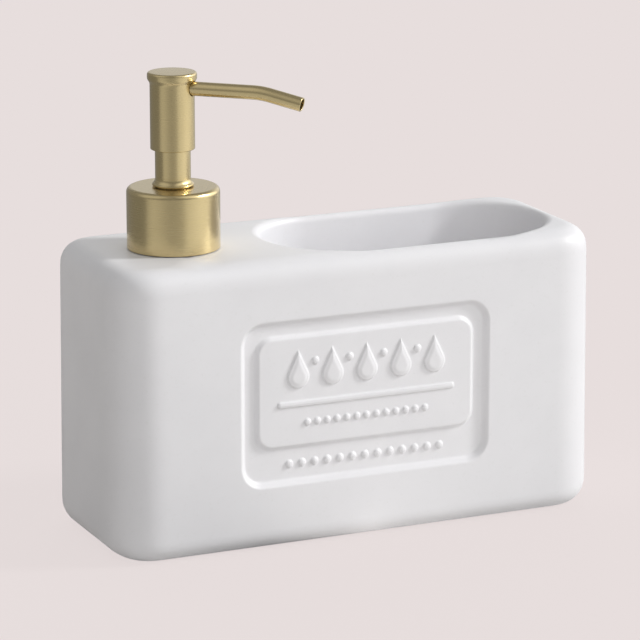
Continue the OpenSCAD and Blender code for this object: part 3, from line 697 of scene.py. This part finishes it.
def head_section():
    """Outer line of the head's shell above its lower rim, with the soft flare under the lip:
    (z, r, outward share, upward share)."""
    high = HEAD_HIGH.z - LIP_ROUND
    flare_z = high - LIP_BAND - LIP_FLARE_H
    near = 0.01 * MM

    def radius(z):
        return HEAD_R + (LIP_R - HEAD_R) * float(ease((z - flare_z) / LIP_FLARE_H))

    rows = []
    for z in np.linspace(SPOUT_Z - HOLE_MARGIN, high, HEAD_ROWS + 1):
        slope = (radius(z + near) - radius(z - near)) / (2 * near)
        hold = 1 / math.hypot(1, slope)
        rows.append((z, radius(z), hold, -slope * hold))
    return rows


def head_rows():
    """Rows of the head's shell from under its cap, round its rim, to its top, and which rows the
    spout's hole may cross: a pair for the inner wall and a pair for the outer one."""
    low, top = HEAD_LOW.z, HEAD_HIGH.z
    inner, ceiling = HEAD_R - HEAD_T, top - HEAD_CAP_T
    low_z, high_z = SPOUT_Z - HOLE_MARGIN, SPOUT_Z + HOLE_MARGIN
    rows = [(inner, ceiling, -0.7, -0.7)]
    rows += [(inner, z, -1, 0) for z in np.linspace(high_z, low_z, HOLE_ROWS + 1)]
    inner_window = (1, 1 + HOLE_ROWS)
    rim, rim_normals = rounded_path([
        (inner, low_z, 0), (inner, low, SHEET_EDGE), (HEAD_R, low, HEAD_RIM), (HEAD_R, low_z, 0),
    ])
    rows += [(r, z, *normal) for (r, z), normal in zip(rim[1:-1], rim_normals[1:-1], strict=True)]
    section = head_section()
    outer_start = len(rows)
    rows += [(r, z, out, rise) for z, r, out, rise in section]
    crossed = sum(z < high_z for z, *_ in section)
    bead, bead_normals = rounded_path([
        (LIP_R, section[-1][0], 0), (LIP_R, top - HEAD_CROWN, LIP_ROUND - HEAD_CROWN), (0, top, 0),
    ], 8)
    rows += [(r, z, *normal) for (r, z), normal in zip(bead[1:-1], bead_normals[1:-1], strict=True)]
    return rows, [inner_window, (outer_start, outer_start + crossed)]


def hole_loop(hole_r, radius_at, lean_at=None):
    """Points and normals where a hole for the spout cuts a wall that turns about the pump's axis.
    Without a lean for the wall the normals point into the hole."""
    places, leans = [], []
    for angle in np.linspace(0, 2 * math.pi, HOLE_STEPS, endpoint=False):
        z = SPOUT_Z + hole_r * math.sin(angle)
        radius = radius_at(z)
        turn = SPOUT_YAW + math.asin(hole_r * math.cos(angle) / radius)
        around = np.array([math.cos(turn), math.sin(turn)])
        places.append([*(around * radius + [PUMP_X, 0]), z])
        if lean_at:
            out, rise = lean_at(z)
            leans.append([*(around * out), rise])
        else:
            across = np.array([-math.sin(SPOUT_YAW), math.cos(SPOUT_YAW)]) * -math.cos(angle)
            leans.append([*across, -math.sin(angle)])
    return np.array(places), np.array(leans)


def head():
    """The head's shell, with the hole that its spout comes through."""
    skin = Skin()
    rows, windows = head_rows()
    rows = np.array(rows)
    grid = skin.add(*turned_rows(rows[:, :2], rows[:, 2:]))
    section = np.array(head_section()).T

    def outer_r(z):
        return np.interp(z, section[0], section[1])

    def outer_lean(z):
        return np.interp(z, section[0], section[2]), np.interp(z, section[0], section[3])

    def inner_r(_):
        return HEAD_R - HEAD_T

    def inner_lean(_):
        return -1, 0

    def unrolled(point):
        turn = math.remainder(math.atan2(point[1], point[0] - PUMP_X) - SPOUT_YAW, 2 * math.pi)
        return turn * HEAD_R, point[2]

    columns = np.arange(-HOLE_COLUMNS, HOLE_COLUMNS + 1)
    walls = [(inner_r, inner_lean, SHEET_EDGE), (outer_r, outer_lean, -SHEET_EDGE)]
    rings = []
    for (start, end), (radius_at, lean_at, inwards) in zip(windows, walls, strict=True):
        loop = skin.add(*hole_loop(SPOUT_HOLE_R + SHEET_EDGE, radius_at, lean_at))
        rings.append([loop, skin.add(*hole_loop(SPOUT_HOLE_R, lambda z: radius_at(z) + inwards))])
        patch = grid[start:end + 1][:, columns]
        rim = np.concatenate([patch[0], patch[1:-1, -1], patch[-1][::-1], patch[1:-1, 0][::-1]])
        inner = patch[1:-1, 1:-1].ravel()
        seen = np.array([unrolled(skin.points[n]) for n in inner]) - [0, SPOUT_Z]
        clear = inner[np.hypot(*seen.T) > SPOUT_HOLE_R * HOLE_CLEAR_SHARE]
        skin.flat([rim, loop], clear, unrolled)
    for number, (ring, beside) in enumerate(zip(grid[:-1], grid[1:], strict=True)):
        cut = any(start <= number < end for start, end in windows)
        keep = np.arange(HOLE_COLUMNS, TURNS - HOLE_COLUMNS) if cut else np.arange(TURNS)
        for n in keep:
            skin.faces.append([ring[n], ring[(n + 1) % TURNS], beside[(n + 1) % TURNS], beside[n]])
    skin.sheet([*rings[0], *rings[1][::-1]])
    skin.fan(grid[0], [PUMP_X, 0, HEAD_HIGH.z - HEAD_CAP_T], -UP)
    skin.fan(grid[-1], [PUMP_X, 0, HEAD_HIGH.z], UP)
    return skin.build("satin_head")


def spout_line():
    """Places along the spout's axis with their slopes: straight, bent, and straight again."""
    root = np.linspace(SPOUT_ROOT, SPOUT_STRAIGHT, ROOT_RINGS, endpoint=False)
    line = [(x, 0, 0) for x in root]
    for tilt in np.linspace(0, SPOUT_BEND, BEND_RINGS + 1):
        x = SPOUT_STRAIGHT + SPOUT_BEND_R * math.sin(tilt)
        line.append((x, -SPOUT_BEND_R * (1 - math.cos(tilt)), tilt))
    x, z, tilt = line[-1]
    for run in np.linspace(0, SPOUT_END, END_RINGS + 1)[1:]:
        line.append((x + run * math.cos(tilt), z - run * math.sin(tilt), tilt))
    return line


def spout():
    """Thin-walled bent tube, with its open end smoothed."""
    line = spout_line()
    yaw = np.array(Matrix.Rotation(SPOUT_YAW, 3, "Z"))
    bore = SPOUT_R - SPOUT_T
    rings = [(place, SPOUT_R, 0, 0) for place in line[:-1]]
    for start, centre_r in ((0, SPOUT_R - SPOUT_EDGE), (math.pi / 2, bore + SPOUT_EDGE)):
        for angle in np.linspace(start, start + math.pi / 2, 4):
            ahead = SPOUT_EDGE * (math.sin(angle) - 1)
            rings.append((line[-1], centre_r + SPOUT_EDGE * math.cos(angle), ahead, angle))
    rings += [(place, bore, 0, math.pi) for place in line[-2::-1]]
    places, leans = [], []
    for (x, z, tilt), radius, ahead, angle in rings:
        forward = np.array([math.cos(tilt), 0, -math.sin(tilt)])
        rise = np.array([math.sin(tilt), 0, math.cos(tilt)])
        around = circle(SPOUT_SIDES) @ [rise, [0, 1, 0]]
        centre = np.array([x, 0, z]) + forward * ahead
        places.append((around * radius + centre) @ yaw.T + [PUMP_X, 0, SPOUT_Z])
        leans.append((around * math.cos(angle) + forward * math.sin(angle)) @ yaw.T)
    skin = Skin()
    grid = skin.add(places, np.array(leans))
    skin.sheet([*grid, grid[0]])
    return skin.build("satin_spout")


def return_spring():
    """Coil spring between the housing and the stem's disc."""
    low, high = SPRING_LOW.z + WIRE_R, SPRING_HIGH.z - WIRE_R
    steps = SPRING_TURNS * SPRING_RINGS
    places, leans = [], []
    for step in range(steps + 1):
        angle = 2 * math.pi * step / SPRING_RINGS
        out = np.array([math.cos(angle), math.sin(angle), 0])
        centre = out * (SPRING_R - WIRE_R) + [PUMP_X, 0, low + (high - low) * step / steps]
        around = circle(WIRE_SIDES) @ [out, UP]
        places.append(centre + around * WIRE_R)
        leans.append(around)
    skin = Skin()
    grid = skin.add(places, np.array(leans))
    skin.sheet(grid)
    skin.fan(grid[0], np.mean(places[0], axis=0), [0, -1, 0])
    skin.fan(grid[-1], np.mean(places[-1], axis=0), [0, 1, 0])
    return skin.build("coiled_spring")


def squeeze(spring):
    """Gives the spring a mesh of its own."""
    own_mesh(spring)


class Nodes:
    """Short way to write the node tree of a material or of the world."""

    def __init__(self, owner):
        owner.use_nodes = True
        self.owner, self.tree = owner, owner.node_tree

    def node(self, kind, inputs=(), **settings):
        """Adds a node, sets what is given, and links what is a socket."""
        node = self.tree.nodes.new(kind)
        for name, value in settings.items():
            setattr(node, name, value)
        for name, value in dict(inputs).items():
            self.set(node, name, value)
        return node

    def set(self, node, name, value):
        """Sets a node's input, or links a socket to it."""
        socket = node.inputs[name]
        if isinstance(value, bpy.types.NodeSocket):
            self.tree.links.new(value, socket)
        else:
            socket.default_value = value

    def principled(self, **inputs):
        """Sets the shader of a material and returns the material."""
        for name, value in inputs.items():
            self.set(self.tree.nodes["Principled BSDF"], name.replace("_", " "), value)
        return self.owner

    def math(self, operation, first, second):
        node = self.node("ShaderNodeMath", {0: first, 1: second}, operation=operation)
        return node.outputs["Value"]

    def noise(self, scale, detail=2.0, roughness=0.5, vector=None):
        node = self.node("ShaderNodeTexNoise", {
            "Scale": scale, "Detail": detail, "Roughness": roughness, "Vector": vector or self.place(),
        })
        return node.outputs["Fac"]

    def place(self):
        return self.node("ShaderNodeTexCoord").outputs["Object"]

    def range(self, value, low, high, start=0.3, end=0.7):
        """Maps a value's range from start to end onto low to high."""
        node = self.node("ShaderNodeMapRange", {
            "Value": value, "From Min": start, "From Max": end, "To Min": low, "To Max": high,
        })
        return node.outputs["Result"]

    def blend(self, share, first, second):
        """Mixes two colours. The numbers are those of the colour sockets."""
        node = self.node("ShaderNodeMix", {0: share, 6: first, 7: second}, data_type="RGBA")
        return node.outputs[2]

    def bump(self, height, distance, strength, normal=None):
        """Fine relief, on top of the relief that a normal already has."""
        inputs = {"Height": height, "Distance": distance, "Strength": strength}
        node = self.node("ShaderNodeBump", inputs)
        if normal is not None:
            self.set(node, "Normal", normal)
        return node.outputs["Normal"]


def material(name):
    return Nodes(bpy.data.materials.new(name))


def grey(value, warm=0.0):
    """An opaque grey, a little warmer if warm is over 0."""
    return (value * (1 + warm), value, value * (1 - warm), 1)


def glaze():
    """Satin white glaze, with faint mottling, orange peel, and a bare foot under the base."""
    nodes = material("glaze")
    mottle = nodes.noise(45, 3)
    speck = nodes.noise(900, 1)
    tint = nodes.blend(nodes.range(mottle, 0, 1), (0.883, 0.876, 0.896, 1), (0.913, 0.906, 0.925, 1))
    colour = nodes.blend(nodes.range(speck, 0, 0.25, 0.62, 0.8), tint, (0.80, 0.795, 0.79, 1))
    normal = nodes.node("ShaderNodeNewGeometry").outputs["Normal"]
    up = nodes.node("ShaderNodeSeparateXYZ", {"Vector": normal})
    height = nodes.node("ShaderNodeSeparateXYZ", {"Vector": nodes.place()})
    low = nodes.range(height.outputs["Z"], 1, 0, 0.2 * MM, 0.6 * MM)
    under = nodes.range(up.outputs["Z"], 1, 0, -0.995, -0.97)
    bare = nodes.math("MULTIPLY", low, under)
    grain = nodes.noise(2600, 4, 0.7)
    clay = nodes.blend(grain, (0.62, 0.58, 0.52, 1), (0.74, 0.71, 0.66, 1))
    peel = nodes.bump(nodes.noise(260, 2), 0.012 * MM, 0.7)
    return nodes.principled(
        Base_Color=nodes.blend(bare, colour, clay),
        Roughness=nodes.range(nodes.noise(60, 3), 0.36, 0.46),
        IOR=1.5,
        Normal=nodes.bump(grain, 0.004 * MM, 0.6, peel),
    )


def satin_metal():
    """Satin pale brass under lacquer, with fine brushing round the axis and a cloudy tone."""
    nodes = material("satin_brass")
    cloud = nodes.noise(140, 3)
    stretch = nodes.node("ShaderNodeMapping", {"Vector": nodes.place(), "Scale": (60, 60, 5200)})
    brush = nodes.noise(1, 3, 0.6, stretch.outputs["Vector"])
    grain = nodes.noise(5200, 2, 0.7)
    tone = nodes.blend(nodes.range(cloud, 0, 1), (0.690, 0.553, 0.282, 1), (0.715, 0.574, 0.300, 1))
    rough = nodes.range(brush, 0.255, 0.278)
    return nodes.principled(
        Base_Color=tone,
        Metallic=1.0,
        Roughness=rough,
        Coat_Weight=0.5,
        Coat_Roughness=0.24,
        Normal=nodes.bump(grain, 0.0025 * MM, 0.5, nodes.bump(brush, 0.0005 * MM, 0.3)),
    )


def moulded(name, colour, rough=0.35, soft=0.0):
    """Injection-moulded plastic: slight flow marks, fine texture, and depth if soft is over 0."""
    nodes = material(name)
    flow = nodes.noise(90, 2)
    skin = nodes.noise(3800, 2, 0.6)
    shade = tuple(0.93 * c for c in colour)
    return nodes.principled(
        Base_Color=nodes.blend(nodes.range(flow, 0, 1), (*shade, 1), (*colour, 1)),
        Roughness=nodes.range(nodes.noise(300, 2), rough - 0.04, rough + 0.06),
        Subsurface_Weight=soft,
        Subsurface_Radius=(2 * MM, 2 * MM, 2 * MM),
        Normal=nodes.bump(skin, 0.004 * MM, 0.5),
    )


def steel(name, rough, stripe):
    """Stainless steel: polished, or drawn with fine lines."""
    nodes = material(name)
    scale = (stripe, stripe, 300)
    stretch = nodes.node("ShaderNodeMapping", {"Vector": nodes.place(), "Scale": scale})
    lines = nodes.noise(1, 3, 0.6, stretch.outputs["Vector"])
    return nodes.principled(
        Base_Color=nodes.blend(lines, (0.56, 0.56, 0.57, 1), (0.64, 0.64, 0.65, 1)),
        Metallic=1.0,
        Roughness=nodes.range(lines, rough, rough + 0.08),
        Normal=nodes.bump(lines, 0.002 * MM, 0.5),
    )


def rubber():
    """Black moulded rubber, dull and slightly dusty."""
    nodes = material("rubber")
    dust = nodes.noise(700, 4, 0.7)
    return nodes.principled(
        Base_Color=nodes.blend(nodes.range(dust, 0, 1), grey(0.014), grey(0.03, 0.05)),
        Roughness=nodes.range(dust, 0.55, 0.75),
        Normal=nodes.bump(dust, 0.006 * MM, 0.6),
    )


def foam():
    """Foamed white sheet with small closed cells."""
    nodes = material("foam")
    cells = nodes.node("ShaderNodeTexVoronoi", {"Vector": nodes.place(), "Scale": 2600})
    return nodes.principled(
        Base_Color=nodes.blend(cells.outputs["Distance"], grey(0.82), grey(0.7, 0.02)),
        Roughness=0.8,
        Normal=nodes.bump(cells.outputs["Distance"], 0.02 * MM, 0.6),
    )


def finish(piece, look):
    """Gives the whole piece one material."""
    piece.data.materials.clear()
    piece.data.materials.append(look)


def stand_for(piece, node, look):
    """Lets a detailed piece take the place of a CAD node, on the same body."""
    finish(piece, look)
    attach(piece, frame["nodes"][node]["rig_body"])
    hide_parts(node)


def azimuth_shades(nodes, turn, shades, warm=0.0):
    """Greys round the object, eased from one azimuth to the next."""
    ramp = nodes.node("ShaderNodeValToRGB", {"Fac": turn})
    ramp.color_ramp.interpolation = "EASE"
    stops = ramp.color_ramp.elements
    stops.remove(stops[0])
    for number, (azimuth, value) in enumerate(shades):
        place = (azimuth + 180) / 360
        stop = stops.new(place) if number else stops[0]
        stop.position = place
        stop.color = grey(value, warm)
    return ramp.outputs["Color"]


def floor():
    """Pale floor. The camera sees its full colour with a soft shadow. Light that bounces meets a
    grey table, and what shines mirrors that table's far shades."""
    nodes = material("floor")
    path = nodes.node("ShaderNodeLightPath").outputs
    seen = nodes.math("MAXIMUM", path["Is Camera Ray"], path["Is Transmission Ray"])
    mirrored = path["Is Glossy Ray"]
    place = nodes.node("ShaderNodeSeparateXYZ", {"Vector": nodes.place()}).outputs
    turn = nodes.range(nodes.math("ARCTAN2", place["Y"], place["X"]), 0, 1, -math.pi, math.pi)
    table = azimuth_shades(nodes, turn, TABLE_SHADES, TABLE_WARMTH)
    mottled = [FLOOR_MOTTLE * c for c in FLOOR_LIT]
    pale = nodes.blend(nodes.noise(400, 4), (*FLOOR_LIT, 1), (*mottled, 1))
    lit = nodes.node("ShaderNodeBsdfDiffuse", {"Color": nodes.blend(seen, table, pale)})
    shown = nodes.blend(mirrored, (*BACKGROUND, 1), azimuth_shades(nodes, turn, MIRRORED_TABLE))
    glow = nodes.node("ShaderNodeEmission", {"Color": shown, "Strength": 1.0})
    share = nodes.math("ADD", nodes.math("MULTIPLY", seen, FLOOR_GLOW), mirrored)
    mix = nodes.node("ShaderNodeMixShader", {0: share, 1: lit.outputs[0], 2: glow.outputs[0]})
    nodes.set(nodes.tree.nodes["Material Output"], "Surface", mix.outputs[0])
    bpy.ops.mesh.primitive_circle_add(vertices=FLOOR_SIDES, radius=FLOOR_R, fill_type="NGON")
    piece = bpy.context.object
    piece.name = "floor"
    finish(piece, nodes.owner)


def direction(azimuth, height):
    """Unit vector of an azimuth, from +X towards +Y, and a height over the table, in degrees."""
    turn, rise = math.radians(azimuth), math.radians(height)
    return Vector((math.cos(turn) * math.cos(rise), math.sin(turn) * math.cos(rise), math.sin(rise)))


def sun(name, azimuth, height, power, angle):
    """Soft light from far away."""
    lamp = bpy.data.lights.new(name, "SUN")
    lamp.energy, lamp.angle = power, math.radians(angle)
    light = bpy.data.objects.new(name, lamp)
    light.rotation_euler = direction(azimuth, height).to_track_quat("Z", "Y").to_euler()
    bpy.context.scene.collection.objects.link(light)


def room_strength(nodes, lamps, even=0.0):
    """Strength of an even room with soft round lamps in it."""
    toward = nodes.node("ShaderNodeTexCoord").outputs["Generated"]
    total = even
    for azimuth, height, half_width, strength in lamps:
        dot = nodes.node(
            "ShaderNodeVectorMath", {0: toward, 1: direction(azimuth, height)},
            operation="DOT_PRODUCT",
        )
        soft = nodes.node("ShaderNodeMapRange", {
            "Value": dot.outputs["Value"], "To Max": strength,
            "From Min": math.cos(math.radians(half_width)),
        }, interpolation_type="SMOOTHSTEP")
        total = nodes.math("ADD", soft.outputs["Result"], total)
    return total


def world():
    """Room of soft lamps, brightest in front and on the right. What shines mirrors its own backdrop,
    and the camera sees the plain pale one."""
    nodes = Nodes(bpy.data.worlds.new("room"))
    bpy.context.scene.world = nodes.owner
    path = nodes.node("ShaderNodeLightPath").outputs
    seen = nodes.math("MAXIMUM", path["Is Camera Ray"], path["Is Transmission Ray"])
    room = room_strength(nodes, ROOM_LAMPS)
    mirrored = room_strength(nodes, MIRRORED_LAMPS, MIRRORED_EVEN)
    around = nodes.blend(path["Is Glossy Ray"], room, mirrored)
    shown = nodes.blend(seen, around, (*BACKGROUND, 1))
    nodes.set(nodes.tree.nodes["Background"], "Color", shown)


def camera():
    """The photograph's point of view."""
    lens = bpy.data.cameras.new("camera")
    lens.lens, lens.sensor_width = LENS_MM, SENSOR_MM
    lens.clip_start, lens.clip_end = 0.01, 100
    view = bpy.data.objects.new("camera", lens)
    view.location = CAMERA_PLACE
    view.rotation_euler = (math.radians(90 - CAMERA_DOWN), 0, math.radians(CAMERA_TURN))
    bpy.context.scene.collection.objects.link(view)
    bpy.context.scene.camera = view


bpy.context.scene.view_settings.view_transform = "Standard"
camera()
floor()
world()
sun("key", azimuth=-20, height=32, power=1.7, angle=12)

stand_for(ceramic_body(), "ceramic_body", glaze())
brass = satin_metal()
stand_for(collar(), "collar_shell", brass)
stand_for(sleeve(), "guide_sleeve", brass)
stand_for(head(), "head_shell", brass)
stand_for(spout(), "spout_tube", brass)
spring = return_spring()
stand_for(spring, "return_spring", steel("drawn_steel", rough=0.22, stripe=900))
squeeze(spring)
for node_name, values in MOULDED.items():
    finish(frame["nodes"][node_name], moulded(*values))
for node_name in ("neck_seal", "spout_seal"):
    finish(frame["nodes"][node_name], rubber())
for node_name in ("inlet_ball", "outlet_ball"):
    finish(frame["nodes"][node_name], steel("polished_steel", rough=0.08, stripe=300))
finish(frame["nodes"]["housing_gasket"], foam())
